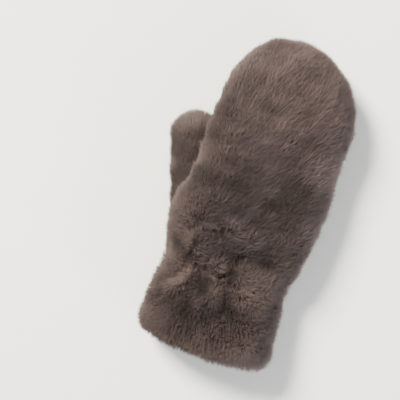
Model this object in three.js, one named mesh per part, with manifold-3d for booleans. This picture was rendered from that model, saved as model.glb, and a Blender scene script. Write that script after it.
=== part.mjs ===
// A right-hand fur mitten, lying on its palm with the thumb tucked under the edge of the hand.
// Millimetres. +Y points to the fingertips, +Z up through the back of the hand, and the thumb is at -X.
import * as THREE from "three";
import { mergeVertices } from "three/addons/utils/BufferGeometryUtils.js";
import Module from "manifold-3d";

const wasm = await Module();
wasm.setup();

// Lengths, over the fur
const CUFF_LENGTH = 70; // hem to the gathered wrist line
const HAND_LENGTH = 210; // wrist line to the tip of the fingers
// Widths, over the fur
const CUFF_WIDTH = 118;
const WRIST_WIDTH = 106;
const HAND_WIDTH = 120;
// Heights of the empty mitten as it lies, before the underside is pressed flat
const CUFF_HEIGHT = 46;
const WRIST_HEIGHT = 40;
const HAND_HEIGHT = 49;
// Fur fabric: backing and pile together
const WALL = 12.5;
const THUMB_WALL = 9.5;
const PRESSED_FLAT = 3; // how much of the pile the floor takes up
const SEAM_GAP = 0.4; // between pieces that are sewn to each other
// Rounding of the closed end and of the hem
const FINGER_ROUND_LENGTH = 80; // the stretch in which the sides close over the fingertips
const TIP_ROUND_LENGTH = 36; // the stretch in which the thickness closes
const TIP_LEAN = 6; // how far the very tip leans to the thumb's side
const TIP_FLAT = 0.1; // length of the point that is cut off the very tip
const HEM_CORNER = 18; // length of the hem's two round corners
const HEM_TURN = 0.926; // share of the corner's curve that is used, which leaves the hem's middle straight
const HEM_ROLL = 9; // rounding of the pile over the hem
const HEM_LIP = 0.56; // share of WALL that this rounding takes
// Thumb, over the fur
const THUMB_WIDTH = 47;
const THUMB_HEIGHT = 35;
const THUMB_LENGTH = 120; // root to tip, along its axis
const THUMB_LEAN = 20; // degrees away from the hand's own axis
const THUMB_ROOT_INSIDE = 29; // from the hand's edge in to the middle of the root
const THUMB_ROOT_PAST_WRIST = 12.3;
const THUMB_ROOT_RISE = 5; // how far the root turns up into the palm
const THUMB_WAIST = 0.06; // share of the width that the middle loses
const THUMB_TIP_FLAT = 0.04; // share of the size at which the tip is cut off
// The hand rides up where it lies over the thumb
const LIFT = 0.715; // share of the thumb's height
const LIFT_PAST_WRIST = 2; // where it starts to rise
const LIFT_RISE_LENGTH = 54;
const LIFT_PAST_THUMB = 5; // from the centre of the thumb's tip to where it starts to fall
const LIFT_BEFORE_TIP = 30; // it stops falling this far before the fingertips
const LIFT_LEFT_AT_TIP = 0.3; // share of the lift that the fingertips keep
const LIFT_EDGE = 0.43; // share of HAND_WIDTH: the full lift begins this far out on the thumb's side
const LIFT_RUN = 0.67; // share of HAND_WIDTH over which it dies away
// Locks of fur
const LOCKS_ROUND_HAND = 22;
const LOCKS_ROUND_THUMB = 11;
const LOCK_LENGTH = 18;
const LOCK_RELIEF = 2.8;
const LOW_LOCK = 0.1; // relief of every second lock, as a share
const LOCK_UNEVENNESS = 0.25;
const LOCK_WAVES = { column: 2.4, band: 1.7 }; // turn of the unevenness from lock to lock, in radians
const ROWS_PER_LOCK = 4;
// Gathers at the wrist
const GATHERS = 11; // folds all round
const GATHER_DEPTH = 1.6;
const GATHER_REACH = 15;
// Grids of the plain faces
const HEM_STATIONS = [0, 0.06, 0.16, 0.32, 0.52, 0.76]; // shares of HEM_CORNER
const TIP_STEPS = 10;
const THUMB_TIP_STEPS = 6;
const INNER_COLUMNS = 20;
const INNER_STEP = 15;
const INNER_TIP_FLAT = 1; // length of the point that is cut off the hollow's tip
const THUMB_INNER_COLUMNS = 12;
const SEAM_COLUMNS = 16;
const SEAM_ROWS = 24;
const SEAM_REACH = 1.6; // width of the seam's cut, as a share of the mitten's

const LENGTH = CUFF_LENGTH + HAND_LENGTH;
const WIDEST = Math.max(CUFF_WIDTH, WRIST_WIDTH, HAND_WIDTH);
const SQUARENESS = 2.3; // of a cross-section: 2 is an ellipse
const FINGER_ROUNDNESS = 2.2;
const HEM_ROUNDNESS = 2.5;

// Plan outline as shares: along of CUFF_LENGTH from the hem, edges of CUFF_WIDTH, height of CUFF_HEIGHT
const CUFF_ROWS = [
  { along: 0.0, thumbSide: 0.505, farSide: 0.485, height: 0.98 },
  { along: 0.28, thumbSide: 0.512, farSide: 0.484, height: 1.0 },
  { along: 0.46, thumbSide: 0.512, farSide: 0.477, height: 1.0 },
  { along: 0.68, thumbSide: 0.505, farSide: 0.46, height: 0.97 },
  { along: 0.87, thumbSide: 0.479, farSide: 0.444, height: 0.91 },
];
const WRIST_ROW = { thumbSide: 0.518, farSide: 0.474 }; // shares of WRIST_WIDTH
// The same for the hand: along of HAND_LENGTH from the wrist, edges of HAND_WIDTH, height of HAND_HEIGHT
const HAND_ROWS = [
  { along: 0.055, thumbSide: 0.502, farSide: 0.444, height: 0.9 },
  { along: 0.11, thumbSide: 0.519, farSide: 0.462, height: 0.96 },
  { along: 0.17, thumbSide: 0.54, farSide: 0.479, height: 1.0 },
  { along: 0.245, thumbSide: 0.548, farSide: 0.495, height: 1.02 },
  { along: 0.34, thumbSide: 0.508, farSide: 0.506, height: 1.0 },
  { along: 0.4, thumbSide: 0.49, farSide: 0.507, height: 0.98 },
  { along: 0.5, thumbSide: 0.5, farSide: 0.503, height: 0.98 },
  { along: 0.62, thumbSide: 0.5, farSide: 0.5, height: 1.0 },
  { along: 1.0, thumbSide: 0.5, farSide: 0.5, height: 1.0 },
];

const STATIONS = [
  ...CUFF_ROWS.map((row) => ({
    along: row.along * CUFF_LENGTH,
    thumbSide: row.thumbSide * CUFF_WIDTH,
    farSide: row.farSide * CUFF_WIDTH,
    height: row.height * CUFF_HEIGHT,
  })),
  {
    along: CUFF_LENGTH,
    thumbSide: WRIST_ROW.thumbSide * WRIST_WIDTH,
    farSide: WRIST_ROW.farSide * WRIST_WIDTH,
    height: WRIST_HEIGHT,
  },
  ...HAND_ROWS.map((row) => ({
    along: CUFF_LENGTH + row.along * HAND_LENGTH,
    thumbSide: row.thumbSide * HAND_WIDTH,
    farSide: row.farSide * HAND_WIDTH,
    height: row.height * HAND_HEIGHT,
  })),
];

const clamp = THREE.MathUtils.clamp;
const smooth = (from, to, value) => THREE.MathUtils.smoothstep(value, from, to);

// The thumb's axis lies flat but for its root, which turns up into the palm.
const thumbLean = THREE.MathUtils.degToRad(THUMB_LEAN);
const thumbDirection = new THREE.Vector3(-Math.sin(thumbLean), Math.cos(thumbLean), 0);
const thumbSideways = new THREE.Vector3(Math.cos(thumbLean), Math.sin(thumbLean), 0);
const thumbMiddle = THUMB_HEIGHT / 2 - PRESSED_FLAT;
const thumbStraight = THUMB_LENGTH - THUMB_WIDTH / 2; // root to the centre of the tip's rounding
const thumbRoot = new THREE.Vector3(
  THUMB_ROOT_INSIDE - HAND_WIDTH / 2,
  CUFF_LENGTH + THUMB_ROOT_PAST_WRIST,
  thumbMiddle,
);

function thumbAxis(fromRoot) {
  const point = thumbRoot.clone().addScaledVector(thumbDirection, fromRoot);
  point.z += THUMB_ROOT_RISE * (1 - smooth(0, THUMB_LENGTH / 2, fromRoot));
  return point;
}

// A curve through the stations, flat where two neighbours slope opposite ways, so that it never overshoots.
function stationValue(name, along) {
  const last = STATIONS.length - 1;
  const at = clamp(along, STATIONS[0].along, STATIONS[last].along);
  let i = 0;
  while (i < last - 1 && STATIONS[i + 1].along < at) i += 1;
  const slope = (a, b) => (STATIONS[b][name] - STATIONS[a][name]) / (STATIONS[b].along - STATIONS[a].along);
  const tangent = (k) => {
    if (k === 0 || k === last) return 0;
    const [before, after] = [slope(k - 1, k), slope(k, k + 1)];
    return before * after <= 0 ? 0 : (2 * before * after) / (before + after);
  };
  const span = STATIONS[i + 1].along - STATIONS[i].along;
  const t = (at - STATIONS[i].along) / span;
  return (
    (1 + 2 * t) * (1 - t) ** 2 * STATIONS[i][name] +
    t * (1 - t) ** 2 * span * tangent(i) +
    t * t * (3 - 2 * t) * STATIONS[i + 1][name] +
    t * t * (t - 1) * span * tangent(i + 1)
  );
}

// How much of a width is left where it closes: 1 at the start of the rounding and 0 at its end.
const closing = (share, power) => Math.max(0, 1 - clamp(share, 0, 1) ** power) ** (1 / power);

// How far the hand is raised over the thumb at a place in plan.
function lift(x, along) {
  const start = CUFF_LENGTH + LIFT_PAST_WRIST;
  const rise = smooth(start, start + LIFT_RISE_LENGTH, along);
  const fall = smooth(thumbAxis(thumbStraight).y + LIFT_PAST_THUMB, LENGTH - LIFT_BEFORE_TIP, along);
  const run = LIFT_RUN * HAND_WIDTH;
  const across = smooth(0, run, run - LIFT_EDGE * HAND_WIDTH - x);
  return LIFT * THUMB_HEIGHT * rise * (1 - (1 - LIFT_LEFT_AT_TIP) * fall) * across;
}

// Rows of overlapping locks: each rises slowly and ends in a step, and the next row lies half a lock aside.
function lockRelief(column, row) {
  const step = row % ROWS_PER_LOCK;
  const band = Math.floor(row / ROWS_PER_LOCK);
  const crest = (column + band) % 2 === 0 ? 1 : LOW_LOCK;
  const wave = Math.sin(LOCK_WAVES.column * column + LOCK_WAVES.band * band);
  const uneven = 1 - LOCK_UNEVENNESS * (1 - wave);
  return (LOCK_RELIEF * crest * uneven * step) / (ROWS_PER_LOCK - 1);
}

// Radial folds where the wrist is drawn in.
function gatherRelief(angle, along) {
  const nearness = Math.exp(-(((along - CUFF_LENGTH) / GATHER_REACH) ** 2));
  return GATHER_DEPTH * nearness * Math.cos(GATHERS * angle);
}

// A point of a hand section. inset shrinks it all round; grow swells it outwards, for locks and gathers.
function handPoint(along, angle, inset, grow = 0) {
  const fingers = (along + inset - (LENGTH - FINGER_ROUND_LENGTH)) / FINGER_ROUND_LENGTH;
  const tip = (along + inset - (LENGTH - TIP_ROUND_LENGTH)) / TIP_ROUND_LENGTH;
  const hem = inset > 0 ? 0 : (HEM_TURN * (HEM_CORNER - along)) / HEM_CORNER;
  const roll = inset > 0 ? 0 : HEM_LIP * WALL * (1 - closing((HEM_ROLL - along) / HEM_ROLL, 2));
  const [thumbSide, farSide] = [stationValue("thumbSide", along), stationValue("farSide", along)];
  const plan = closing(fingers, FINGER_ROUNDNESS) * closing(hem, HEM_ROUNDNESS);
  const halfWidth = Math.max(0, ((thumbSide + farSide) / 2 - inset) * plan) + grow;
  const fullHalfHeight = stationValue("height", along) / 2;
  const halfHeight = Math.max(0, (fullHalfHeight - inset) * closing(tip, 2) - roll) + grow;
  const lean = -TIP_LEAN * clamp(fingers, 0, 1) ** 3;
  const round = (value) => Math.sign(value) * Math.abs(value) ** (2 / SQUARENESS);
  const x = (farSide - thumbSide) / 2 + lean + halfWidth * round(Math.cos(angle));
  const z = fullHalfHeight - PRESSED_FLAT + halfHeight * round(Math.sin(angle));
  return new THREE.Vector3(x, along, Math.max(0, z + lift(x, along)));
}

// A closed body through rings of points, with a fan to the middle of the ring at each end.
function loft(rings) {
  const columns = rings[0].length;
  const middle = (ring) => ring.reduce((sum, p) => sum.add(p), new THREE.Vector3()).divideScalar(columns);
  const points = [...rings.flat(), middle(rings[0]), middle(rings.at(-1))];
  const faces = [];
  for (let c = 0; c < columns; c += 1) {
    const next = (c + 1) % columns;
    const lastRing = (rings.length - 1) * columns;
    faces.push(rings.length * columns, c, next);
    faces.push(rings.length * columns + 1, lastRing + next, lastRing + c);
    for (let r = 0; r < rings.length - 1; r += 1) {
      const [a, b] = [r * columns + c, r * columns + next];
      faces.push(a, a + columns, b, b, a + columns, b + columns);
    }
  }
  const geometry = new THREE.BufferGeometry().setFromPoints(points);
  geometry.setIndex(faces);
  return geometry;
}

function solidOf(geometry) {
  const merged = mergeVertices(geometry, 1e-4);
  const made = new wasm.Manifold(
    new wasm.Mesh({
      numProp: 3,
      vertProperties: merged.attributes.position.array,
      triVerts: new Uint32Array(merged.index.array),
    }),
  );
  return made;
}

function geometryOf(solid) {
  const mesh = solid.getMesh();
  const geometry = new THREE.BufferGeometry();
  geometry.setAttribute("position", new THREE.BufferAttribute(mesh.vertProperties, 3));
  geometry.setIndex(new THREE.BufferAttribute(mesh.triVerts, 1));
  geometry.computeVertexNormals();
  return geometry;
}

const ringAngles = (columns) => Array.from({ length: columns }, (_, c) => (2 * Math.PI * c) / columns);

// Stations of the outer face: close together round the hem and the tip, evenly spaced between.
function outerStations() {
  const step = LOCK_LENGTH / ROWS_PER_LOCK;
  const hem = HEM_STATIONS.map((share) => share * HEM_CORNER);
  const straightEnd = LENGTH - TIP_ROUND_LENGTH;
  const straightSteps = Math.round((straightEnd - HEM_CORNER) / step);
  const straight = Array.from(
    { length: straightSteps },
    (_, i) => HEM_CORNER + ((straightEnd - HEM_CORNER) * i) / straightSteps,
  );
  const tip = Array.from(
    { length: TIP_STEPS },
    (_, i) => straightEnd + TIP_ROUND_LENGTH * Math.sin(((Math.PI / 2) * i) / TIP_STEPS),
  );
  return [...hem, ...straight, ...tip, LENGTH - TIP_FLAT];
}

// The whole outer form of cuff and hand, swollen by a gap where the thumb has to stay clear of it.
function handOuter(gap) {
  const columns = 2 * LOCKS_ROUND_HAND;
  const rings = outerStations().map((along, row) =>
    ringAngles(columns).map((angle, column) => {
      const free = closing((along - (LENGTH - TIP_ROUND_LENGTH)) / TIP_ROUND_LENGTH, 2);
      const relief = lockRelief(column, row) - gatherRelief(angle, along);
      return handPoint(along, angle, 0, gap + free * relief);
    }),
  );
  return solidOf(loft(rings));
}

// The hollow for the hand, which runs out through the hem.
function handInner() {
  const end = LENGTH - WALL;
  const steps = Math.round(end / INNER_STEP);
  const stations = [-HEM_CORNER];
  for (let i = 0; i < steps; i += 1) stations.push((end * i) / steps);
  stations.push(end - INNER_TIP_FLAT);
  const rings = stations.map((along) =>
    ringAngles(INNER_COLUMNS).map((angle) => handPoint(along, angle, WALL)),
  );
  return solidOf(loft(rings));
}

// A round-ended tube along the thumb's axis, inset from its outer size.
function thumbForm(inset, columns, step, relief) {
  const halfWidth = THUMB_WIDTH / 2 - inset;
  const halfHeight = THUMB_HEIGHT / 2 - inset;
  const rows = Math.round(thumbStraight / step);
  const places = [];
  for (let i = 0; i < rows; i += 1) places.push({ fromRoot: (thumbStraight * i) / rows, size: 1 });
  for (let i = 0; i < THUMB_TIP_STEPS; i += 1) {
    const turn = ((Math.PI / 2) * i) / THUMB_TIP_STEPS;
    places.push({ fromRoot: thumbStraight + halfWidth * Math.sin(turn), size: Math.cos(turn) });
  }
  places.push({ fromRoot: thumbStraight + halfWidth, size: THUMB_TIP_FLAT });
  const rings = places.map(({ fromRoot, size }, row) => {
    const waist = 1 - THUMB_WAIST * Math.sin(Math.PI * clamp(fromRoot / thumbStraight, 0, 1)) ** 2;
    return ringAngles(columns).map((angle, column) => {
      const grow = relief ? lockRelief(column, row) * size : 0;
      const p = thumbAxis(fromRoot);
      p.addScaledVector(thumbSideways, Math.cos(angle) * (halfWidth * waist * size + grow));
      p.z = Math.max(0, p.z + Math.sin(angle) * (halfHeight * size + grow));
      return p;
    });
  });
  return solidOf(loft(rings));
}

// A thin slab that follows the hand's mid-height, where the back is sewn to the palm.
function seamSlab() {
  const [columns, rows] = [SEAM_COLUMNS, SEAM_ROWS];
  const points = [];
  for (const side of [-0.5, 0.5])
    for (let r = 0; r <= rows; r += 1)
      for (let c = 0; c <= columns; c += 1) {
        const along = CUFF_LENGTH - HEM_CORNER + ((HAND_LENGTH + 2 * HEM_CORNER) * r) / rows;
        const x = SEAM_REACH * WIDEST * (c / columns - 0.5);
        const z = stationValue("height", along) / 2 - PRESSED_FLAT + lift(x, along) + side * SEAM_GAP;
        points.push(new THREE.Vector3(x, along, z));
      }
  const wide = columns + 1;
  const upper = wide * (rows + 1);
  const faces = [];
  const quad = (a, b, c, d) => faces.push(a, b, c, a, c, d);
  for (let r = 0; r < rows; r += 1)
    for (let c = 0; c < columns; c += 1) {
      const a = r * wide + c;
      quad(upper + a, upper + a + 1, upper + a + wide + 1, upper + a + wide);
      quad(a, a + wide, a + wide + 1, a + 1);
    }
  for (let c = 0; c < columns; c += 1) {
    const far = rows * wide + c;
    quad(c, c + 1, upper + c + 1, upper + c);
    quad(far + 1, far, upper + far, upper + far + 1);
  }
  for (let r = 0; r < rows; r += 1) {
    const [near, far] = [r * wide, r * wide + columns];
    quad(near + wide, near, upper + near, upper + near + wide);
    quad(far, far + wide, upper + far + wide, upper + far);
  }
  const geometry = new THREE.BufferGeometry().setFromPoints(points);
  geometry.setIndex(faces);
  return solidOf(geometry);
}

// A block that holds everything between two heights and two places along the mitten.
function block(alongFrom, alongTo, zFrom, zTo) {
  const geometry = new THREE.BoxGeometry(4 * WIDEST, alongTo - alongFrom, zTo - zFrom);
  geometry.deleteAttribute("normal");
  geometry.deleteAttribute("uv");
  geometry.translate(0, (alongFrom + alongTo) / 2, (zFrom + zTo) / 2);
  return solidOf(geometry);
}

const largest = (solid) =>
  solid.decompose().reduce((best, piece) => (piece.volume() > best.volume() ? piece : best));

const TALL = HAND_HEIGHT + CUFF_HEIGHT + THUMB_HEIGHT; // clear of everything, above and below
const thumbHollow = thumbForm(THUMB_WALL, THUMB_INNER_COLUMNS, INNER_STEP, false);
const shell = handOuter(0).subtract(handInner()).subtract(thumbHollow);
const cuffSolid = shell.intersect(block(-LENGTH, CUFF_LENGTH - SEAM_GAP / 2, -TALL, TALL));
const handSolid = shell.intersect(block(CUFF_LENGTH + SEAM_GAP / 2, 2 * LENGTH, -TALL, TALL));
const [backSolid, palmSolid] = handSolid
  .subtract(seamSlab())
  .decompose()
  .sort((a, b) => b.volume() - a.volume())
  .slice(0, 2)
  .sort((a, b) => b.boundingBox().max[2] - a.boundingBox().max[2]);

const thumbSolid = thumbForm(0, 2 * LOCKS_ROUND_THUMB, LOCK_LENGTH / ROWS_PER_LOCK, true)
  .subtract(thumbHollow)
  .subtract(handOuter(SEAM_GAP));
const aboveThumbSeam = block(-LENGTH, 2 * LENGTH, thumbMiddle + SEAM_GAP / 2, TALL);
const belowThumbSeam = block(-LENGTH, 2 * LENGTH, -TALL, thumbMiddle - SEAM_GAP / 2);
const thumbBackSolid = largest(thumbSolid.intersect(aboveThumbSeam));
const thumbFrontSolid = largest(thumbSolid.intersect(belowThumbSeam));

const taupeFur = () => new THREE.MeshStandardMaterial({ color: 0x6f625c, roughness: 0.95, metalness: 0 });

function piece(name, solid) {
  const mesh = new THREE.Mesh(geometryOf(solid), taupeFur());
  mesh.name = name;
  return mesh;
}

const mitten = new THREE.Group();
mitten.add(piece("back_panel", backSolid));
mitten.add(piece("palm_panel", palmSolid));
mitten.add(piece("cuff", cuffSolid));
mitten.add(piece("thumb_back", thumbBackSolid));
mitten.add(piece("thumb_front", thumbFrontSolid));

// The origin is on the floor under the middle of the whole mitten.
const bounds = new THREE.Box3().setFromObject(mitten);
const middle = bounds.getCenter(new THREE.Vector3());
mitten.position.set(-middle.x, -middle.y, -bounds.min.z);

export default mitten;
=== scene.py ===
"""A deep-pile fur mitten that lies on its palm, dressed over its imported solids.

Metres and degrees, and millimetres in the tables. +Y runs from the hem to the fingertips and +Z up through
the back of the hand. The thumb is at -X.
"""

import math

import bmesh
import bpy
import numpy as np
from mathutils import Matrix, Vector, kdtree, noise
from mathutils.bvhtree import BVHTree


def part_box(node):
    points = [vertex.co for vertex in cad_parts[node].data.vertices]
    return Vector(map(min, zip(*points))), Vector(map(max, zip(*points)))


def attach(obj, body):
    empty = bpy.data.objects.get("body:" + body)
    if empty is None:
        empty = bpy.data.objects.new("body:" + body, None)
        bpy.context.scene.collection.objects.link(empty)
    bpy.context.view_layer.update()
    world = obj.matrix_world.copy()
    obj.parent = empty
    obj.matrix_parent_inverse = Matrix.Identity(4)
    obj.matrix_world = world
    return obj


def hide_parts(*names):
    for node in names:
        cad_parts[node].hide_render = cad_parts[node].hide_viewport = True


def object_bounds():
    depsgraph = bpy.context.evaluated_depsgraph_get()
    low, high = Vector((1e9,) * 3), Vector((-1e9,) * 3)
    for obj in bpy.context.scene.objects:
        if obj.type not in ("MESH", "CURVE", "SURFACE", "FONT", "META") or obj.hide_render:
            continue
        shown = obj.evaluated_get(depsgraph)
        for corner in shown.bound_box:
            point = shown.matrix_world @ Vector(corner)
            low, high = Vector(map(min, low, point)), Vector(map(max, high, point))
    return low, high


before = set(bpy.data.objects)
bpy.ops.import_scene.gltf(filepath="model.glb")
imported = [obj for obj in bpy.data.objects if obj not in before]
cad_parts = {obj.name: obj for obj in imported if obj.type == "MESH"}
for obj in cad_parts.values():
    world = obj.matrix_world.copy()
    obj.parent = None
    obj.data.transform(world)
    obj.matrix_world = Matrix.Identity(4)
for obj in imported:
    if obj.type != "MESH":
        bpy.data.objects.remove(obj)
cad_low, cad_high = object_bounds()

MM = 0.001
SEED = 27
HAND_NODES = ("back_panel", "palm_panel", "cuff")
THUMB_NODES = ("thumb_back", "thumb_front")
HEM = cad_low[1]
FLOOR = cad_low[2]
CUFF_LOW, CUFF_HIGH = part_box("cuff")
MIDDLE = (CUFF_LOW[0] + CUFF_HIGH[0]) / 2  # the hand's own middle line
WRIST = (CUFF_HIGH[1] - HEM) / MM  # from the hem, in millimetres
MOUTH_HEIGHT = (CUFF_LOW[2] + CUFF_HIGH[2]) / 2
THUMB_LEAN = math.radians(20)  # of the thumb's axis, towards -X

# How far the fabric lies under the outer face that the pile's tips make, and the walls that it presses into
HAND_BED = 4.9 * MM
THUMB_BED = 3.2 * MM
HEM_BED = 4.4 * MM
HEM_BED_RUN = 18  # millimetres from the hem to where the bed has its full depth
HAND_WALL = 12.5 * MM
THUMB_WALL = 9.5 * MM
PLAIN_BACK_EDGE = 0.3  # of the wall's depth, where the fabric's plain back begins round the mouth
SEAT_CLEARANCE = 5 * MM  # the bed dies away where the thumb and the palm are this near to each other
FORM_VOXEL = 2.4 * MM
FORM_SOFTENING = 8
WALL_VOXEL = 2.2 * MM
WALL_SOFTENING = 3
WALL_FLOOR_GAP = 0.5 * MM

# Puffs of fur, most of them round the gathered wrist.
# Across is from the middle line and along is from the hem, here and in the tables below.
PUFFS = [
    {"across": -39, "along": 49, "radius": 5, "height": 4.5},
    {"across": -32, "along": 53, "radius": 5, "height": 2.5},
    {"across": -9, "along": 79, "radius": 8, "height": 3.0},
    {"across": -4, "along": 54, "radius": 8, "height": 3.0},
    {"across": -8, "along": 44, "radius": 8, "height": 2.0},
    {"across": 25, "along": 67, "radius": 15, "height": 4.5},
    {"across": 12, "along": 80, "radius": 9, "height": 2.0},
    {"across": -33, "along": 86, "radius": 14, "height": 4.0},
    {"across": 11, "along": 108, "radius": 7, "height": 2.5},
    {"across": -3, "along": 111, "radius": 8, "height": 2.5},
    {"across": -42, "along": 68, "radius": 11, "height": 4.0},
    {"across": 48, "along": 118, "radius": 13, "height": 1.5},
    {"across": 34, "along": 19, "radius": 13, "height": 2.0},
    {"across": 45, "along": 68, "radius": 9, "height": 2.0},
    {"across": -77, "along": 143, "radius": 5, "height": 2.5},
]
# Creases between them: from one end to the other, with a half width and a depth
CREASES = [
    {"start": (-20, 67), "end": (2, 70), "width": 3.0, "depth": 1.1},
    {"start": (-1, 74), "end": (0, 84), "width": 3.5, "depth": 1.2},
    {"start": (3, 62), "end": (10, 40), "width": 3.5, "depth": 4.5},
    {"start": (-43, 100), "end": (-30, 104), "width": 3.0, "depth": 2.5},
    {"start": (-23, 104), "end": (-18, 98), "width": 4.0, "depth": 2.5},
    {"start": (0, 89), "end": (29, 88), "width": 7.0, "depth": 2.6},
    {"start": (11, 139), "end": (16, 133), "width": 3.0, "depth": 2.0},
    {"start": (-38, 40), "end": (-33, 38), "width": 4.0, "depth": 1.2},
]
# Places where the pile lies flatter or stands up more, and where its tone is lighter or darker: partly the
# pile's own uneven tone, partly painted light and shade, such as painted shadow beside creases and painted
# light in the wrist's hollows and on slopes turned away from the key light
PATCHES = [
    # Over the fingertips
    {"across": -3, "along": 266, "radius": 11, "lean": 8, "tone": 0.12},
    {"across": -23, "along": 259, "radius": 12, "lean": 8, "tone": -0.34},
    {"across": 37, "along": 251, "radius": 12, "lean": 4, "tone": 0.26},
    {"across": -10, "along": 249, "radius": 13, "lean": 8, "tone": 0.45},
    {"across": -51, "along": 234, "radius": 11, "lean": 0, "tone": 0.22},
    {"across": -16, "along": 232, "radius": 18, "lean": 4, "tone": 0.14},
    {"across": 34, "along": 228, "radius": 17, "lean": 6, "tone": 0.26},
    {"across": -37, "along": 227, "radius": 12, "lean": -4, "tone": -0.32},
    {"across": -19, "along": 222, "radius": 7, "lean": 4, "tone": 0.14},
    # Over the fingers
    {"across": 46, "along": 218, "radius": 10, "lean": 2, "tone": 0.18},
    {"across": 14, "along": 214, "radius": 26, "lean": 2, "tone": 0.08},
    {"across": -13, "along": 209, "radius": 8, "lean": -4, "tone": -0.38},
    {"across": -49, "along": 206, "radius": 14, "lean": -6, "tone": -0.34},
    {"across": -4, "along": 200, "radius": 16, "lean": 10, "tone": 0.24},
    {"across": 33, "along": 194, "radius": 10, "lean": 2, "tone": -0.34},
    {"across": -40, "along": 193, "radius": 9, "lean": -2, "tone": -0.18},
    {"across": 50, "along": 184, "radius": 19, "lean": 8, "tone": 0.66},
    {"across": -4, "along": 179, "radius": 20, "lean": 4, "tone": 0.32},
    {"across": -54, "along": 177, "radius": 15, "lean": -6, "tone": -0.48},
    {"across": -28, "along": 176, "radius": 12, "lean": 4, "tone": 0.14},
    {"across": 38, "along": 171, "radius": 9, "lean": 4, "tone": 0.14},
    {"across": 5, "along": 163, "radius": 9, "lean": 4, "tone": 0.18},
    # Over the knuckles
    {"across": -58, "along": 152, "radius": 7, "lean": 2, "tone": 0.20},
    {"across": 28, "along": 150, "radius": 19, "lean": -12, "tone": -0.44},
    {"across": 4, "along": 146, "radius": 10, "lean": 6, "tone": 0.08},
    {"across": -22, "along": 141, "radius": 12, "lean": -10, "tone": -0.18},
    {"across": -47, "along": 140, "radius": 16, "lean": -6, "tone": -0.54},
    {"across": 14, "along": 134, "radius": 7, "lean": -8, "tone": -0.44},
    {"across": 51, "along": 131, "radius": 10, "lean": 10, "tone": 0.34},
    {"across": 37, "along": 127, "radius": 9, "lean": -4, "tone": -0.14},
    # Above the wrist
    {"across": -66, "along": 122, "radius": 6, "lean": 0, "tone": -0.36},
    {"across": -11, "along": 121, "radius": 6, "lean": -4, "tone": -0.28},
    {"across": 50, "along": 120, "radius": 8, "lean": 6, "tone": 0.20},
    {"across": 8, "along": 117, "radius": 7, "lean": -4, "tone": -0.36},
    {"across": -28, "along": 116, "radius": 12, "lean": 4, "tone": 0.12},
    {"across": -20, "along": 114, "radius": 13, "lean": 8, "tone": 0.10},
    {"across": -42, "along": 109, "radius": 9, "lean": 6, "tone": 0.50},
    {"across": 52, "along": 108, "radius": 9, "lean": 8, "tone": -0.20},
    {"across": -11, "along": 108, "radius": 9, "lean": 18, "tone": 0.80},
    {"across": 8, "along": 103, "radius": 8, "lean": 6, "tone": 0.42},
    {"across": -22, "along": 102, "radius": 7, "lean": -10, "tone": -0.14},
    # Round the gathered wrist
    {"across": -30, "along": 92, "radius": 10, "lean": 6, "tone": 0.38},
    {"across": 24, "along": 89, "radius": 9, "lean": -10, "tone": -0.34},
    {"across": 4, "along": 86, "radius": 7, "lean": -14, "tone": -0.46},
    {"across": -43, "along": 84, "radius": 8, "lean": -4, "tone": -0.50},
    {"across": 40, "along": 79, "radius": 10, "lean": 8, "tone": 0.20},
    {"across": -8, "along": 75, "radius": 6, "lean": 4, "tone": 0.54},
    {"across": -15, "along": 75, "radius": 11, "lean": 10, "tone": 0.74},
    {"across": 6, "along": 71, "radius": 6, "lean": -8, "tone": -0.54},
    {"across": -24, "along": 71, "radius": 7, "lean": 2, "tone": 0.34},
    {"across": -36, "along": 68, "radius": 11, "lean": 6, "tone": 0.32},
    {"across": 21, "along": 67, "radius": 13, "lean": 10, "tone": 0.62},
    {"across": -50, "along": 66, "radius": 11, "lean": 0, "tone": -0.26},
    {"across": -12, "along": 64, "radius": 6, "lean": -2, "tone": -0.60},
    {"across": 7, "along": 60, "radius": 5, "lean": -4, "tone": -0.26},
    {"across": -26, "along": 58, "radius": 8, "lean": 2, "tone": 0.26},
    {"across": 41, "along": 58, "radius": 13, "lean": 6, "tone": 0.24},
    {"across": -12, "along": 56, "radius": 8, "lean": -6, "tone": -0.58},
    {"across": -4, "along": 52, "radius": 6, "lean": 6, "tone": 0.10},
    # On the cuff
    {"across": -39, "along": 48, "radius": 5, "lean": 6, "tone": 0.20},
    {"across": 11, "along": 48, "radius": 9, "lean": -10, "tone": -0.60},
    {"across": 33, "along": 43, "radius": 8, "lean": -10, "tone": -0.04},
    {"across": -45, "along": 40, "radius": 13, "lean": 0, "tone": -0.20},
    {"across": -6, "along": 38, "radius": 9, "lean": -12, "tone": -0.14},
    {"across": -22, "along": 37, "radius": 12, "lean": -12, "tone": -0.46},
    {"across": -52, "along": 22, "radius": 9, "lean": 2, "tone": 0.16},
    {"across": -19, "along": 22, "radius": 9, "lean": 0, "tone": -0.12},
    {"across": 32, "along": 17, "radius": 13, "lean": 4, "tone": 0.50},
    {"across": 6, "along": 12, "radius": 9, "lean": 4, "tone": 0.10},
    {"across": 43, "along": 10, "radius": 10, "lean": 2, "tone": 0.14},
]

# The same on the thumb: the tuft at its root and its lighter end, and painted shade at its root and on its
# side that faces the key light
THUMB_PATCHES = [
    {"across": -75, "along": 141, "radius": 7, "lean": 4, "tone": 0.46},
    {"across": -78, "along": 188, "radius": 9, "lean": 4, "tone": 0.10},
    {"across": -78, "along": 155, "radius": 7, "lean": 0, "tone": -0.42},
    {"across": -64, "along": 160, "radius": 10, "lean": -2, "tone": 0.10},
    {"across": -66, "along": 125, "radius": 11, "lean": -6, "tone": -0.58},
]

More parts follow.
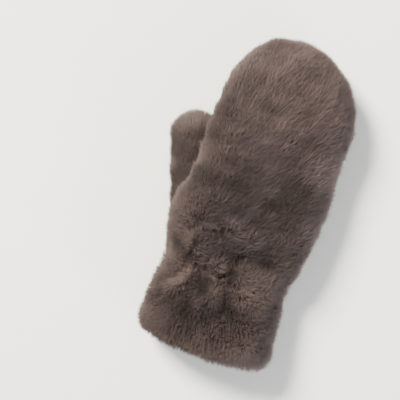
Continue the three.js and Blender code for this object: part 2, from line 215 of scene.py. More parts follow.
# The pile: lengths and radii in millimetres, bends in degrees. A strand without a bend is a straight cone.
UNDERFUR = {"length": 7.0, "radius": 0.27, "bend": 0, "jitter": 0.4, "clump": (0.0, 0.14), "tone": -0.01}
GUARD_HAIR = {"length": 7.7, "radius": 0.22, "bend": 9, "jitter": 0.45, "clump": (0.05, 0.22), "tone": 0.03}
CUFF_FUR = {"length": 6.2, "radius": 0.27, "bend": 0, "jitter": 0.55, "clump": (0.1, 0.38), "tone": -0.01}
CUFF_HAIR = {"length": 6.9, "radius": 0.22, "bend": 9, "jitter": 0.55, "clump": (0.12, 0.46), "tone": 0.07}
# Pieces of fur: the solids that they cover and how many strands each one has
FURS = [
    {"piece": "back_underfur", "nodes": ("back_panel",), "strands": 47000, "pile": UNDERFUR},
    {"piece": "back_guard_hair", "nodes": ("back_panel",), "strands": 14000, "pile": GUARD_HAIR},
    {"piece": "palm_fur", "nodes": ("palm_panel",), "strands": 40000, "pile": UNDERFUR},
    {"piece": "cuff_underfur", "nodes": ("cuff",), "strands": 36000, "pile": CUFF_FUR},
    {"piece": "cuff_guard_hair", "nodes": ("cuff",), "strands": 8000, "pile": CUFF_HAIR},
    {"piece": "thumb_back_fur", "nodes": ("thumb_back",), "strands": 13000, "pile": UNDERFUR},
    {"piece": "thumb_front_fur", "nodes": ("thumb_front",), "strands": 10000, "pile": UNDERFUR},
]
FEWER_ON_FLOOR = 0.6  # the share of strands that pressed pile lacks
MORE_ON_TOP = 0.25  # the share of strands that the upper side has besides
STRANDS_TO_A_LOCK = 5
LOCK_SHIFT = 1.1 * MM  # how far the tips of a lock's strands are moved together
MIDDLE_SHARE = 0.35  # of what moves a strand's tip, at the strand's middle
MIDDLE_WIDTH = 0.85  # of a strand's width at its root, at its middle
ROOT_DEPTH = 0.6 * MM  # of each root in the fabric
STRAND_FLOOR_GAP = 0.1 * MM
FLOOR_SHORTENING = 0.35  # the share by which pressed pile is shorter
HEM_SHORTENING = 0.2
HEM_SHORTENING_RUN = 14  # millimetres from the hem to where the pile has its full length
LENGTH_SCATTER = 0.10
LEAN_SCATTER = 5
TONE_SCATTER = 0.04
RADIUS_SCATTER = (0.8, 1.15)
SOFTNESS = 0.42  # how much a strand is shaded like the fabric that it grows from
# Every strand has one of the shades of a square chart, which has a cell of the map for each
TONE_STEPS = 16
WARMTH_STEPS = 16
TONE_RANGE = (0.2, 1.8)

# Degrees that the pile turns from +Y towards +X on the hand, and degrees that it leans from upright.
# What a place has is added to "usual", here and in TONE.
TURN = {"usual": 12, "outer_edge": 26, "thumb_edge": -12}
LEAN = {"usual": 40, "thumb": 6, "cuff": -20, "shoulders": 16, "outer_side": -20}
FLOOR_LEAN = 78
# How light the pile is, where 1 is the shade of its material
TONE = {
    "usual": 0.84,
    # Painted light: the rounded sides lighter, more on the side away from the thumb and the key light, and
    # painted shade on the side that faces them
    "sides": 0.28,
    "painted_light_away_from_thumb": 0.26,
    # Painted shade on the shoulder that faces the thumb and the key light
    "painted_shade_thumb_shoulder": -0.16,
    "tips": 0.06,
    # Painted light on the outer half, away from the key light, and as much painted shade on the thumb's half
    "painted_light_outer_half": 0.06,
    "hem": 0.38,
}
# Painted shade: the cuff's pile made darker, against the key light that its lay catches
CUFF_PAINTED_SHADE = 0.12
# How light the thumb is at its root and at its end: painted shade that darkens it towards its root, where
# the hand shades it
THUMB_ROOT_PAINTED_SHADE = 0.40
THUMB_END_TONE = 1.08
# Soft unevenness of each kind: how wide its patches are in millimetres, how strong it is, and its own seed
CLOUDS = {
    "swell": {"size": 30, "strength": 0.8, "seed": 1},
    "dimple": {"size": 12, "strength": 0.4, "seed": 2},
    "turn": {"size": 45, "strength": 8, "seed": 3},
    "parting": {"size": 20, "strength": 9, "seed": 4},
    "thumb_sway": {"size": 22, "strength": 0.35, "seed": 5},
    "thumb_lean": {"size": 20, "strength": 12, "seed": 6},
    "lean": {"size": 24, "strength": 8, "seed": 7},
    "stray_across": {"size": 13, "strength": 1, "seed": 8},
    "stray_along": {"size": 13, "strength": 1, "seed": 9},
    "length": {"size": 16, "strength": 0.10, "seed": 10},
    "fine_tone": {"size": 7, "strength": 0.05, "seed": 11},
    "broad_tone": {"size": 24, "strength": 0.06, "seed": 12},
    "warmth": {"size": 30, "strength": 0.5, "seed": 14},
}
CLOUD_CONTRAST = 1.6

# Lights: a turn in plan from +Y towards +X and an elevation, both in degrees, and an energy in watts
WARM_WHITE = (1.0, 0.97, 0.9)
COOL_WHITE = (0.86, 0.94, 1.0)
LIGHTS = [
    {"name": "key_light", "turn": -59, "elevation": 38, "size": 1.0, "energy": 440, "colour": WARM_WHITE},
    {"name": "fill_light", "turn": 122, "elevation": 11, "size": 1.6, "energy": 180, "colour": COOL_WHITE},
]
LIGHT_DISTANCE = 3.0


def smooth(start, end, value):
    """0 before start and 1 after end, with a soft step between. start may be the larger."""
    share = np.clip((value - start) / (end - start), 0, 1)
    return share * share * (3 - 2 * share)


def clouds(points, kind):
    """Soft noise of one kind at each point."""
    row = CLOUDS[kind]
    # Each seed reads another part of the same noise
    moved = points / (row["size"] * MM) + np.array((3.1, 5.7, 7.3)) * row["seed"]
    return row["strength"] * (np.array([noise.noise(place) for place in moved.tolist()]) * CLOUD_CONTRAST)


def unit(vectors):
    return vectors / np.maximum(np.linalg.norm(vectors, axis=1, keepdims=True), 1e-9)


def plan(points):
    """Millimetres across from the middle line and along from the hem."""
    return (points[:, 0] - MIDDLE) / MM, (points[:, 1] - HEM) / MM


def bell(distance, radius):
    """1 in the middle of a spot or crease, and soon nothing past its radius."""
    return np.exp(-((distance / radius) ** 2))


def off_crease(row, across, along):
    """Distance from a crease in plan, and the direction away from it."""
    start = np.array(row["start"], float)
    run = np.array(row["end"], float) - start
    offset = np.stack((across, along), 1) - start
    share = np.clip(offset @ run / (run @ run), 0, 1)
    away = offset - share[:, None] * run
    distance = np.linalg.norm(away, axis=1)
    return distance, away / np.maximum(distance, 0.5)[:, None]


def off_spot(row, across, along):
    """Distance from a puff or patch in plan, and the direction away from it."""
    away = np.stack((across - row["across"], along - row["along"]), 1)
    distance = np.linalg.norm(away, axis=1)
    return distance, away / np.maximum(distance, 0.5)[:, None]


def relief(points, normals):
    """How far the fabric stands out from its even bed: gathers on top, and unevenness all round."""
    across, along = plan(points)
    rise = clouds(points, "swell") + clouds(points, "dimple")
    gathers = np.zeros(len(points))
    for row in PUFFS:
        distance, _ = off_spot(row, across, along)
        gathers += row["height"] * bell(distance, row["radius"])
    for row in CREASES:
        distance, _ = off_crease(row, across, along)
        gathers -= row["depth"] * bell(distance, row["width"])
    return (rise + gathers * smooth(0.1, 0.6, normals[:, 2])) * MM


def even_mesh(name, nodes, voxel, rounds):
    """The named solids as one mesh with faces of one size, softened."""
    joined = bmesh.new()
    for node in nodes:
        joined.from_mesh(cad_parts[node].data)
    bmesh.ops.remove_doubles(joined, verts=joined.verts, dist=0.001 * MM)
    rough = bpy.data.meshes.new(name + "_rough")
    joined.to_mesh(rough)
    joined.free()
    holder = bpy.data.objects.new(name + "_holder", rough)
    bpy.context.scene.collection.objects.link(holder)
    even = holder.modifiers.new("even_faces", "REMESH")
    even.mode = "VOXEL"
    even.voxel_size = voxel
    soften = holder.modifiers.new("soften", "SMOOTH")
    soften.factor = 0.5
    soften.iterations = rounds
    view = bpy.context.evaluated_depsgraph_get()
    mesh = bpy.data.meshes.new_from_object(holder.evaluated_get(view))
    bpy.data.objects.remove(holder)
    bpy.data.meshes.remove(rough)
    mesh.name = name
    return mesh


def corners_of(mesh):
    places = np.empty(len(mesh.vertices) * 3)
    mesh.vertices.foreach_get("co", places)
    return places.reshape(-1, 3)


def normals_of(mesh):
    directions = np.empty(len(mesh.vertices) * 3)
    mesh.vertices.foreach_get("normal", directions)
    return directions.reshape(-1, 3)


def triangles_of(mesh):
    mesh.calc_loop_triangles()
    corners = np.empty(len(mesh.loop_triangles) * 3, int)
    mesh.loop_triangles.foreach_get("vertices", corners)
    return corners.reshape(-1, 3)


def faces_out(points, normals, tree):
    """True for each point that looks away from the hollow: most rays from it meet nothing."""
    # A ray's length, its start off the face and its tilt, and how many of the five rays have to be free
    reach, start, spread, enough = 0.6, 0.6 * MM, 0.6, 3
    seen = np.zeros(len(points), bool)
    for index, (place, normal) in enumerate(zip(points.tolist(), normals.tolist(), strict=True)):
        place, normal = Vector(place), Vector(normal)
        side = normal.orthogonal().normalized()
        other = normal.cross(side)
        origin = place + normal * start
        free = 0
        for tilt in (Vector(), side, -side, other, -other):
            ray = (normal + spread * tilt).normalized()
            free += tree.ray_cast(origin, ray, reach)[0] is None
        seen[index] = free >= enough
    return seen


class Form:
    """The outer face of cuff and hand, or of the thumb, with the bed that its pile grows from."""

    def __init__(self, name, nodes, wall, bed):
        self.nodes = nodes
        self.wall = wall
        self.bed_depth = bed
        self.is_thumb = nodes == THUMB_NODES
        self.patches = THUMB_PATCHES if self.is_thumb else PATCHES
        mesh = even_mesh(name, nodes, FORM_VOXEL, FORM_SOFTENING)
        self.points = corners_of(mesh)
        self.normals = normals_of(mesh)
        faces = triangles_of(mesh)
        closed = BVHTree.FromPolygons(self.points.tolist(), faces.tolist())
        out = faces_out(self.points, self.normals, closed)
        self.faces = faces[out[faces].all(1)]
        self.tree = BVHTree.FromPolygons(self.points.tolist(), self.faces.tolist())
        self.owners = self.nearest_node(self.points[self.faces].mean(1))
        bpy.data.meshes.remove(mesh)

    def nearest_node(self, points):
        """The number of the solid that each point lies nearest to."""
        view = bpy.context.evaluated_depsgraph_get()
        apart = []
        for node in self.nodes:
            tree = BVHTree.FromObject(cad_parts[node], view)
            apart.append([tree.find_nearest(place)[3] for place in points.tolist()])
        return np.argmin(np.array(apart), 0)

    def distance(self, points):
        """How far each point lies from the form's outer face."""
        return np.array([self.tree.find_nearest(place)[3] for place in points.tolist()])

    def lay_bed(self, other):
        """Sinks the outer face to the bed of the pile, less where the other form is seated against it."""
        _, along = plan(self.points)
        depth = HEM_BED + (self.bed_depth - HEM_BED) * smooth(0, HEM_BED_RUN, along)
        clear = smooth(0, SEAT_CLEARANCE, other.distance(self.points))
        self.shift = self.normals * ((relief(self.points, self.normals) - depth) * clear)[:, None]
        bed = bpy.data.meshes.new("bed")
        bed.from_pydata((self.points + self.shift).tolist(), [], self.faces.tolist())
        self.bed = corners_of(bed)
        self.bed_normals = normals_of(bed)
        bpy.data.meshes.remove(bed)
        used = np.unique(self.faces)
        self.near = kdtree.KDTree(len(used))
        for index in used.tolist():
            self.near.insert(self.points[index], index)
        self.near.balance()

    def press(self, points):
        """Moves a wall's points with the bed: fully at the outer face and not at all at the inner one."""
        moved = points.copy()
        depths = self.distance(points)
        for index, place in enumerate(points.tolist()):
            share = 1 - min(depths[index] / self.wall, 1)
            if share <= 0:
                continue
            # The shift of the four nearest corners of the outer face, where a nearer one counts for more
            found = self.near.find_n(place, 4)
            weights = np.array([1 / (distance + 0.2 * MM) for _, _, distance in found])
            shifts = self.shift[[number for _, number, _ in found]]
            moved[index] += share * (weights @ shifts) / weights.sum()
        return moved, depths


def new_material(name):
    material = bpy.data.materials.new(name)
    material.use_nodes = True
    tree = material.node_tree
    shader = tree.nodes["Principled BSDF"]
    return material, tree.nodes, tree.links, shader


def attribute(nodes, name):
    reader = nodes.new("ShaderNodeAttribute")
    reader.attribute_name = name
    return reader.outputs["Fac"]


def mix(nodes, links, blend, factor, first, second):
    """Blends two colours. factor and second may be sockets or values."""
    mixer = nodes.new("ShaderNodeMix")
    mixer.data_type = "RGBA"
    mixer.blend_type = blend
    for name, value in (("Factor", factor), ("A", first), ("B", second)):
        if isinstance(value, bpy.types.NodeSocket):
            links.new(value, mixer.inputs[name])
        else:
            mixer.inputs[name].default_value = value
    return mixer.outputs["Result"]


def ramp(nodes, links, factor, stops):
    """A colour ramp through stops of position and colour."""
    node = nodes.new("ShaderNodeValToRGB")
    elements = node.color_ramp.elements
    elements[0].position, elements[1].position = stops[0][0], stops[-1][0]
    elements[0].color, elements[1].color = (*stops[0][1], 1), (*stops[-1][1], 1)
    for position, colour in stops[1:-1]:
        elements.new(position).color = (*colour, 1)
    links.new(factor, node.inputs["Fac"])
    return node.outputs["Color"]


def strand_material():
    """Single strands of the pile: dark at the root and light at the tip, in warmer and cooler shades."""
    material, nodes, links, shader = new_material("taupe_pile")
    stops = [
        (0.0, (0.068, 0.049, 0.044)),
        (0.4, (0.085, 0.061, 0.054)),
        (0.75, (0.101, 0.073, 0.066)),
        (1.0, (0.118, 0.087, 0.080)),
    ]
    fur = ramp(nodes, links, attribute(nodes, "height"), stops)
    cool, warm = (0.985, 1.0, 1.01, 1), (1.01, 1.0, 0.99, 1)
    tint = mix(nodes, links, "MIX", attribute(nodes, "warmth"), cool, warm)
    tinted = mix(nodes, links, "MULTIPLY", 1, fur, tint)
    colour = mix(nodes, links, "MULTIPLY", 1, tinted, attribute(nodes, "tone"))
    links.new(colour, shader.inputs["Base Color"])
    shader.inputs["Roughness"].default_value = 0.62
    shader.inputs["Specular IOR Level"].default_value = 0.07
    shader.inputs["Sheen Weight"].default_value = 0.08
    shader.inputs["Sheen Roughness"].default_value = 0.5
    shader.inputs["Sheen Tint"].default_value = (1.0, 0.82, 0.74, 1)
    return material


def soft_noise(nodes, links, place, scale, detail):
    texture = nodes.new("ShaderNodeTexNoise")
    texture.inputs["Scale"].default_value = scale
    texture.inputs["Detail"].default_value = detail
    links.new(place, texture.inputs["Vector"])
    return texture.outputs["Fac"]


def rows(nodes, links, place, direction, apart):
    """Soft parallel rows that lie apart along X, Y or Z, a little uneven."""
    texture = nodes.new("ShaderNodeTexWave")
    texture.wave_type = "BANDS"
    texture.bands_direction = direction
    texture.inputs["Scale"].default_value = math.pi / 10 / apart  # at scale 1, bands are pi / 10 apart
    texture.inputs["Distortion"].default_value = 1.5
    texture.inputs["Detail"].default_value = 1
    links.new(place, texture.inputs["Vector"])
    return texture.outputs["Fac"]


def add(nodes, links, first, share, second):
    """first times share, plus second."""
    adder = nodes.new("ShaderNodeMath")
    adder.operation = "MULTIPLY_ADD"
    links.new(first, adder.inputs[0])
    adder.inputs[1].default_value = share
    links.new(second, adder.inputs[2])
    return adder.outputs["Value"]


def fabric_material():
    """The fabric under the pile: the pile's dark roots outside, and the plain knitted back in the hollow."""
    material, nodes, links, shader = new_material("pile_fabric")
    place = nodes.new("ShaderNodeTexCoord").outputs["Object"]
    tufts = soft_noise(nodes, links, place, 420, 4)
    root_stops = [(0.3, (0.044, 0.030, 0.026)), (0.75, (0.074, 0.052, 0.045))]
    roots = ramp(nodes, links, tufts, root_stops)
    wales = rows(nodes, links, place, "X", 3.0 * MM)
    courses = rows(nodes, links, place, "Y", 2.6 * MM)
    stitches = add(nodes, links, courses, 0.35, wales)
    worn = add(nodes, links, stitches, 0.2, soft_noise(nodes, links, place, 60, 3))
    knitted_stops = [(0.3, (0.086, 0.065, 0.056)), (0.95, (0.106, 0.081, 0.071))]
    knitted = ramp(nodes, links, worn, knitted_stops)
    inside_stops = [(PLAIN_BACK_EDGE, (0, 0, 0)), (PLAIN_BACK_EDGE + 0.1, (1, 1, 1))]
    inside = ramp(nodes, links, attribute(nodes, "depth"), inside_stops)
    links.new(mix(nodes, links, "MIX", inside, roots, knitted), shader.inputs["Base Color"])
    bump = nodes.new("ShaderNodeBump")
    bump.inputs["Strength"].default_value = 0.5
    bump.inputs["Distance"].default_value = 0.25 * MM
    links.new(mix(nodes, links, "MIX", inside, tufts, stitches), bump.inputs["Height"])
    links.new(bump.outputs["Normal"], shader.inputs["Normal"])
    shader.inputs["Roughness"].default_value = 0.92
    return material


def place_piece(name, mesh, *replaced):
    """Makes a mesh a piece of the mitten, in the place of the solids that it stands for."""
    mesh.name = name
    piece = bpy.data.objects.new(name, mesh)
    bpy.context.scene.collection.objects.link(piece)
    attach(piece, "root")
    if replaced:
        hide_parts(*replaced)


def above_floor(points, lowest):
    """The points, where those under the lowest height are lifted to it."""
    lifted = points.copy()
    lifted[:, 2] = np.maximum(lifted[:, 2], lowest)
    return lifted


def make_wall(node, form, fabric):
    """The fabric of one panel: its bed under the pile, its cut edges and its plain back."""
    mesh = even_mesh(node + "_fabric", (node,), WALL_VOXEL, WALL_SOFTENING)
    points, depths = form.press(corners_of(mesh))
    points = above_floor(points, FLOOR + WALL_FLOOR_GAP)
    mesh.vertices.foreach_set("co", points.ravel())
    depth = mesh.attributes.new("depth", "FLOAT", "POINT")
    depth.data.foreach_set("value", (depths / form.wall).astype(np.float32))
    mesh.materials.append(fabric)
    mesh.polygons.foreach_set("use_smooth", [True] * len(mesh.polygons))
    mesh.update()
    place_piece(node + "_fabric", mesh, node)


def thumb_lay(points):
    """The pile's direction in plan, its lean and its parting. On the thumb it runs to the end, unparted."""
    flat = np.tile((-math.sin(THUMB_LEAN), math.cos(THUMB_LEAN)), (len(points), 1))
    flat[:, 0] += clouds(points, "thumb_sway")
    lean = LEAN["usual"] + LEAN["thumb"] + clouds(points, "thumb_lean")
    return flat, lean, np.zeros(len(points))


def hand_lay(points, normals):
    """The same on hand and cuff, where it runs to fingertips and hem and parts along the wrist."""
    across, along = plan(points)
    outer_edge = smooth(30, 50, across) * smooth(215, 170, along)
    thumb_edge = smooth(-30, -55, across)
    turn = TURN["usual"] + clouds(points, "turn")
    turn = np.radians(turn + TURN["outer_edge"] * outer_edge + TURN["thumb_edge"] * thumb_edge)
    to_tips = np.stack((np.sin(turn), np.cos(turn)), 1)
    # The cuff's pile fans out from its middle line
    to_hem = unit(np.stack((0.011 * across + 0.08, -np.ones(len(points))), 1))
    on_hand = smooth(WRIST - 14, WRIST + 8, along + clouds(points, "parting"))
    # At the parting, which is 1 where the two meet, the pile turns outwards and stands up
    parting = 4 * on_hand * (1 - on_hand)
    flat = on_hand[:, None] * to_tips + (1 - on_hand)[:, None] * to_hem
    flat[:, 0] += 0.7 * parting * np.tanh(across / 15)
    lean = (LEAN["usual"] + LEAN["cuff"] * (1 - on_hand)) * (1 - 0.6 * parting) + clouds(points, "lean")
    lean += LEAN["shoulders"] * smooth(0.97, 0.75, normals[:, 2]) * on_hand
    lean += LEAN["outer_side"] * smooth(0.3, 0.8, normals[:, 0])
    return flat, lean, parting


def part_at_gathers(flat, points, on_top):
    """Turns the pile away from the middle of each puff and crease."""
    across, along = plan(points)
    for row in PUFFS:
        distance, away = off_spot(row, across, along)
        flat += 0.5 * away * on_top * bell(distance, 1.2 * row["radius"])[:, None]
    for row in CREASES:
        distance, away = off_crease(row, across, along)
        flat += 0.15 * away * on_top * bell(distance, 2.2 * row["width"])[:, None]


def pile_lay(form, points, normals):
    """Which way the pile lies at each point, along the fabric, and how far it leans from upright."""
    across, along = plan(points)
    if form.is_thumb:
        flat, lean, parting = thumb_lay(points)
    else:
        flat, lean, parting = hand_lay(points, normals)
    stray = (0.12 + 0.27 * parting)[:, None]
    flat = flat + stray * np.stack((clouds(points, "stray_across"), clouds(points, "stray_along")), 1)
    on_top = smooth(0.0, 0.5, normals[:, 2])
    for row in form.patches:
        distance, _ = off_spot(row, across, along)
        lean += row["lean"] * bell(distance, row["radius"]) * on_top
    if not form.is_thumb:
        part_at_gathers(flat, points, on_top[:, None])
    # The pile bends down over the fingertips, and at the hem towards the mouth's middle height
    over_tips = -0.5 * smooth(0.25, 0.9, normals[:, 1])
    to_mouth = np.clip((MOUTH_HEIGHT - points[:, 2]) / (10 * MM), -1, 1)
    into_mouth = to_mouth * smooth(-0.3, -0.9, normals[:, 1])
    lay = unit(np.concatenate((flat, (over_tips + into_mouth)[:, None]), 1))
    lay -= normals * (lay * normals).sum(1, keepdims=True)
    # It leans less where this direction runs through the fabric instead of along it
    hold = np.linalg.norm(lay, axis=1)
    lean = lean * (0.45 + 0.55 * np.minimum(hold, 1))
    lean = lean + (FLOOR_LEAN - lean) * smooth(-0.25, -0.85, normals[:, 2])
    return unit(lay), np.radians(lean)


def painted_side_light_and_shade(points, normals):
    """Painted light on the rounded sides: most where they face away from the thumb and the key light, with
    painted shade where they face it.
    """
    _, along = plan(points)
    sideways, upright = normals[:, 0], normals[:, 2]
    painted_light_away_from_thumb = TONE["painted_light_away_from_thumb"] * np.where(sideways < 0, 1, smooth(85, 125, along)) * sideways
    sides = (TONE["sides"] + painted_light_away_from_thumb) * smooth(0.92, 0.3, upright) * smooth(-0.7, -0.1, upright)
    return sides + TONE["painted_shade_thumb_shoulder"] * smooth(-0.1, -0.5, sideways) * smooth(0.4, 0.7, upright)


def tones(form, points, normals, rng):
    """How light each strand is beside its material: its own uneven tone, with painted light and shade added
    in places.
    """
    across, along = plan(points)
    tone = TONE["usual"] + clouds(points, "fine_tone") + clouds(points, "broad_tone")
    tone += TONE_SCATTER * rng.standard_normal(len(points))
    # Painted light and shade on the rounded sides
    tone += painted_side_light_and_shade(points, normals)
    if form.is_thumb:
        # Painted shade: the thumb darker towards its root, in the hand's shade
        tone *= THUMB_ROOT_PAINTED_SHADE + (THUMB_END_TONE - THUMB_ROOT_PAINTED_SHADE) * smooth(160, 194, along)
    # The patches' tone is partly the pile's own and partly painted light and shade
    on_top = smooth(-0.3, 0.3, normals[:, 2])
    for row in form.patches:
        distance, _ = off_spot(row, across, along)
        tone += row["tone"] * on_top * bell(distance, row["radius"])
    if not form.is_thumb:
        # Lighter towards the fingertips; painted light on the outer half and painted shade on the thumb's
        # half
        tone += TONE["tips"] * smooth(225, 262, along) + TONE["painted_light_outer_half"] * np.tanh(across / 30)
        # Painted shade on the cuff
        tone *= 1 - CUFF_PAINTED_SHADE * smooth(WRIST + 4, WRIST - 12, along)
        tone += TONE["hem"] * smooth(16, 2, along)
    return tone


def scatter(form, nodes, count, rng):
    """Roots spread over the bed, with the fabric's normals there: fewer below and more on top."""
    corners = form.bed[form.faces]
    wanted = np.isin(form.owners, [form.nodes.index(node) for node in nodes])
    edge, other = corners[:, 1] - corners[:, 0], corners[:, 2] - corners[:, 0]
    area = np.linalg.norm(np.cross(edge, other), axis=1) / 2
    up = form.bed_normals[form.faces].mean(1)[:, 2]
    area *= wanted * (1 - FEWER_ON_FLOOR * smooth(-0.5, -0.95, up))
    area *= 1 + MORE_ON_TOP * smooth(0.0, 0.5, up)
    ladder = np.cumsum(area) / area.sum()
    steps = (np.arange(count) + rng.random(count)) / count
    face = np.minimum(np.searchsorted(ladder, steps), len(area) - 1)
    first, second = rng.random(count), rng.random(count)
    flip = first + second > 1
    first[flip], second[flip] = 1 - first[flip], 1 - second[flip]
    shares = np.stack((1 - first - second, first, second), 1)[:, :, None]
    roots = (form.bed[form.faces[face]] * shares).sum(1)
    normals = unit((form.bed_normals[form.faces[face]] * shares).sum(1))
    return roots, normals


def grow(form, roots, normals, pile, rng):
    """The middle and the tip of each strand, with neighbouring strands drawn together into locks."""
    count = len(roots)
    lay, lean = pile_lay(form, roots, normals)
    lean = lean + math.radians(LEAN_SCATTER) * rng.standard_normal(count)
    uneven = 1 + LENGTH_SCATTER * rng.standard_normal(count) + clouds(roots, "length")
    length = pile["length"] * uneven * MM
    length *= 1 - FLOOR_SHORTENING * smooth(-0.2, -0.8, normals[:, 2])
    _, along = plan(roots)
    length *= 1 - HEM_SHORTENING * smooth(HEM_SHORTENING_RUN, 0, along)
    bend = math.radians(pile["bend"])

    def leaning(angle):
        return normals * np.cos(angle)[:, None] + lay * np.sin(angle)[:, None]

    middle = leaning(lean - bend) * (length / 2)[:, None]
    tip = middle + leaning(lean + bend) * (length / 2)[:, None]
    middle += MIDDLE_SHARE * pile["jitter"] * MM * rng.standard_normal((count, 3))
    tip += pile["jitter"] * MM * rng.standard_normal((count, 3))

    guides = rng.choice(count, count // STRANDS_TO_A_LOCK, replace=False)
    lock_shift = LOCK_SHIFT * rng.standard_normal((len(guides), 3))
    near = kdtree.KDTree(len(guides))
    for number, index in enumerate(guides.tolist()):
        near.insert(roots[index], number)
    near.balance()
    lock = np.array([near.find(place)[1] for place in roots.tolist()])
    guide = guides[lock]
    pull = rng.uniform(*pile["clump"], count)[:, None]
    to_guide = roots[guide] - roots
    tip += pull * (to_guide + tip[guide] - tip) + lock_shift[lock] * pull
    middle += MIDDLE_SHARE * pull * (to_guide + middle[guide] - middle)
    return roots + middle, roots + tip


def strand_shape(bent):
    """The heights of a closed strand's corners, its faces, and their places in a cell of the chart."""
    heights = [0, 0, 0, 0.5, 0.5, 0.5, 1] if bent else [0, 0, 0, 1]
    last = len(heights) - 1
    faces = [(0, 2, 1)]
    cell = [(0.30, 0.06), (0.50, 0.01), (0.70, 0.06)]
    # In the cell the root's face is at the bottom, and the three sides stand above it in a row
    low, half, high = 0.10, 0.52, 0.95
    for i in range(3):
        j = (i + 1) % 3
        left, right = 0.04 + 0.31 * i, 0.04 + 0.31 * (i + 1)
        middle = (left + right) / 2
        if bent:
            faces += [(i, j, 3 + j), (i, 3 + j, 3 + i), (3 + i, 3 + j, last)]
            cell += [(left, low), (right, low), (right, half), (left, low), (right, half), (left, half)]
            cell += [(left, half), (right, half), (middle, high)]
        else:
            faces.append((i, j, last))
            cell += [(left, low), (right, low), (middle, high)]
    return heights, np.array(faces), np.array(cell)


def chart_strands(mesh, strands, heights, cell):
    """Gives each strand its cell of the chart, in the map and in the attributes that the material reads."""
    low, high = TONE_RANGE
    column = np.clip((strands["tone"] - low) / (high - low) * TONE_STEPS, 0, TONE_STEPS - 1).astype(int)
    row = np.clip(strands["warmth"] * WARMTH_STEPS, 0, WARMTH_STEPS - 1).astype(int)
    corner = np.stack((column, row), 1)[:, None]
    places = (corner + cell[None]) / (TONE_STEPS, WARMTH_STEPS)
    mesh.uv_layers.new(name="OFBake").data.foreach_set("uv", places.ravel())
    charted = {
        "height": np.tile(heights, len(column)),
        "tone": np.repeat(low + (column + 0.5) / TONE_STEPS * (high - low), len(heights)),
        "warmth": np.repeat((row + 0.5) / WARMTH_STEPS, len(heights)),
    }
    for label, values in charted.items():
        mesh.attributes.new(label, "FLOAT", "POINT").data.foreach_set("value", values.astype(np.float32))


def make_strands(name, strands, bent, material, rng):
    """One mesh of closed, three-sided, tapered strands."""
    normals, radius = strands["normal"], strands["radius"]
    lowest = FLOOR + STRAND_FLOOR_GAP + radius
    roots, middles, tips = (above_floor(strands[part], lowest) for part in ("root", "middle", "tip"))
    run = unit(tips - roots)
    across = unit(np.cross(run, unit(rng.standard_normal(run.shape))))
    over = np.cross(run, across)
    turns = (np.arange(3) * 2 * math.pi / 3)[None, :, None]
    ring = np.cos(turns) * across[:, None] + np.sin(turns) * over[:, None]
    soft = SOFTNESS * normals[:, None] + (1 - SOFTNESS) * ring
    ring = ring * radius[:, None, None]
    if bent:
        rings = (roots[:, None] + ring, middles[:, None] + MIDDLE_WIDTH * ring, tips[:, None])
        soft = np.concatenate((soft, soft, normals[:, None]), 1)
    else:
        rings = (roots[:, None] + ring, tips[:, None])
        soft = np.concatenate((soft, normals[:, None]), 1)
    points = np.concatenate(rings, 1)
    heights, one, cell = strand_shape(bent)
    faces = (np.arange(len(roots))[:, None, None] * len(heights) + one[None]).reshape(-1, 3)
    mesh = bpy.data.meshes.new(name)
    mesh.from_pydata(points.reshape(-1, 3).tolist(), [], faces.tolist())
    mesh.polygons.foreach_set("use_smooth", [True] * len(faces))
    chart_strands(mesh, strands, heights, cell)
    mesh.materials.append(material)
    mesh.update()
    mesh.normals_split_custom_set_from_vertices(unit(soft.reshape(-1, 3)).tolist())
    place_piece(name, mesh)


def make_camera():
    """Looks straight down, turned so that the fingers lean to the right as in the photograph."""
    # span is the width that the picture shows at the height of centre
    span, turn, lens, sensor = 337 * MM, math.radians(20), 100, 36
    centre = Vector((-31.4, -15.3, 25)) * MM
    camera = bpy.data.objects.new("camera", bpy.data.cameras.new("camera"))
    camera.data.lens = lens
    camera.data.sensor_width = sensor
    camera.location = centre + Vector((0, 0, span * lens / sensor))
    camera.rotation_euler = (0, 0, turn)
    camera.data.clip_end = 20
    bpy.context.scene.collection.objects.link(camera)
    bpy.context.scene.camera = camera


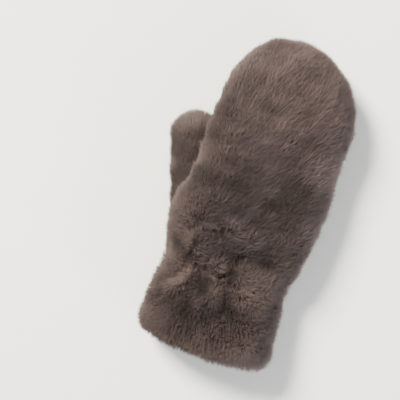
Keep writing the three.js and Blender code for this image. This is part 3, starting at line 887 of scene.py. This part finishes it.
def make_light(name, turn, elevation, size, energy, colour):
    """A square soft light that looks at the mitten."""
    azimuth, height = math.radians(turn), math.radians(elevation)
    way = Vector((
        math.sin(azimuth) * math.cos(height),
        math.cos(azimuth) * math.cos(height),
        math.sin(height),
    ))
    light = bpy.data.objects.new(name, bpy.data.lights.new(name, "AREA"))
    light.data.size = size
    light.data.energy = energy
    light.data.color = colour
    light.location = way * LIGHT_DISTANCE
    light.rotation_euler = way.to_track_quat("Z", "Y").to_euler()
    bpy.context.scene.collection.objects.link(light)


def make_stage():
    """A plain pale floor, and an even pale surrounding light."""
    shape = bmesh.new()
    bmesh.ops.create_grid(shape, x_segments=1, y_segments=1, size=3)
    mesh = bpy.data.meshes.new("floor")
    shape.to_mesh(mesh)
    shape.free()
    material, _, _, shader = new_material("pale_floor")
    shader.inputs["Base Color"].default_value = (0.945, 0.925, 0.85, 1)
    shader.inputs["Roughness"].default_value = 0.9
    mesh.materials.append(material)
    floor = bpy.data.objects.new("floor", mesh)
    floor.location.z = FLOOR
    bpy.context.scene.collection.objects.link(floor)
    world = bpy.data.worlds.new("studio")
    world.use_nodes = True
    world.node_tree.nodes["Background"].inputs["Color"].default_value = (0.92, 0.96, 1.0, 1)
    world.node_tree.nodes["Background"].inputs["Strength"].default_value = 0.655
    bpy.context.scene.world = world


make_camera()
make_stage()
for row in LIGHTS:
    make_light(**row)

rng = np.random.default_rng(SEED)
hand = Form("hand_form", HAND_NODES, HAND_WALL, HAND_BED)
thumb = Form("thumb_form", THUMB_NODES, THUMB_WALL, THUMB_BED)
hand.lay_bed(thumb)
thumb.lay_bed(hand)

pile_fabric = fabric_material()
for form in (hand, thumb):
    for node in form.nodes:
        make_wall(node, form, pile_fabric)

taupe_pile = strand_material()
for row in FURS:
    form = thumb if row["nodes"][0] in THUMB_NODES else hand
    pile = row["pile"]
    roots, normals = scatter(form, row["nodes"], row["strands"], rng)
    middles, tips = grow(form, roots, normals, pile, rng)
    strands = {
        "root": roots - normals * ROOT_DEPTH,
        "middle": middles,
        "tip": tips,
        "normal": normals,
        "tone": tones(form, roots, normals, rng) + pile["tone"],
        "warmth": 0.5 + clouds(roots, "warmth"),
        "radius": pile["radius"] * MM * rng.uniform(*RADIUS_SCATTER, len(roots)),
    }
    make_strands(row["piece"], strands, pile["bend"] > 0, taupe_pile, rng)
